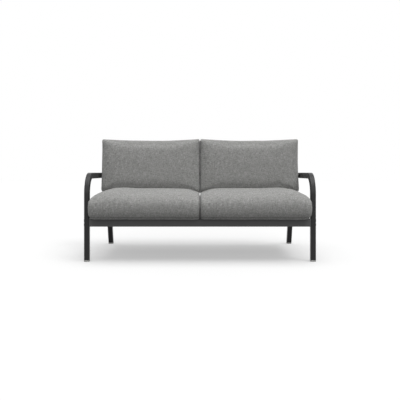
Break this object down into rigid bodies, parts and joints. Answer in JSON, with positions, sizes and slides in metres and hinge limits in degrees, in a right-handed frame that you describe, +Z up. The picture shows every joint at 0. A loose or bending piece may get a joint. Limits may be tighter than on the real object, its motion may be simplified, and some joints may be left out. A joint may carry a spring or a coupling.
{
  "type": "patio loveseat",
  "caption": "Outdoor two-seat sofa: bent dark tube frame with round arms that run on as front legs, slatted seat and back, and loose seat and back cushions.",
  "frame": {"origin": "on the floor under the middle of the whole seat", "axes": "+X along the seat to the viewer's right, +Y to the back, +Z up"},
  "size_m": [1.442, 0.879, 0.7726],
  "materials": {
    "coated_tube": "satin",
    "raw_aluminium": "satin",
    "cap": "matte",
    "glide": "satin",
    "steel": "satin",
    "fabric": "matte",
    "foam": "matte"
  },
  "bodies": {
    "frame": {"left_arm_leg": "coated_tube", "right_arm_leg": "coated_tube", "left_rear_upright": "coated_tube", "right_rear_upright": "coated_tube", "front_rail": "coated_tube", "rear_rail": "coated_tube", "left_side_rail": "coated_tube", "right_side_rail": "coated_tube", "centre_brace": "coated_tube", "seat_slats": "coated_tube", "back_lower_rail": "coated_tube", "back_top_rail": "coated_tube", "back_slats": "coated_tube", "front_left_glide": "glide", "front_right_glide": "glide", "rear_left_glide": "glide", "rear_right_glide": "glide", "left_arm_end_cap": "cap", "right_arm_end_cap": "cap", "left_post_cap": "cap", "right_post_cap": "cap", "left_rail_end_plug": "raw_aluminium", "right_rail_end_plug": "raw_aluminium", "left_arm_spacer": "cap", "right_arm_spacer": "cap", "leg_bolts": "steel", "arm_bolts": "steel", "rivet_nuts": "steel", "bolt_covers": "cap"},
    "left_seat_cushion": {"left_seat_cushion_cover": "fabric", "left_seat_cushion_foam": "foam"},
    "right_seat_cushion": {"right_seat_cushion_cover": "fabric", "right_seat_cushion_foam": "foam"},
    "left_back_cushion": {"left_back_cushion_cover": "fabric", "left_back_cushion_foam": "foam"},
    "right_back_cushion": {"right_back_cushion_cover": "fabric", "right_back_cushion_foam": "foam"}
  },
  "joints": [
    {"name": "left_seat_lift", "type": "slide", "parent": "frame", "child": "left_seat_cushion", "axis": [0, 0, 1], "range_m": [0, 0.3]},
    {"name": "left_back_lift", "type": "slide", "parent": "left_seat_cushion", "child": "left_back_cushion", "axis": [0, 0, 1], "range_m": [0, 0.34]},
    {"name": "right_seat_lift", "type": "slide", "parent": "frame", "child": "right_seat_cushion", "axis": [0, 0, 1], "range_m": [0, 0.3]},
    {"name": "right_back_lift", "type": "slide", "parent": "right_seat_cushion", "child": "right_back_cushion", "axis": [0, 0, 1], "range_m": [0, 0.34]}
  ]
}
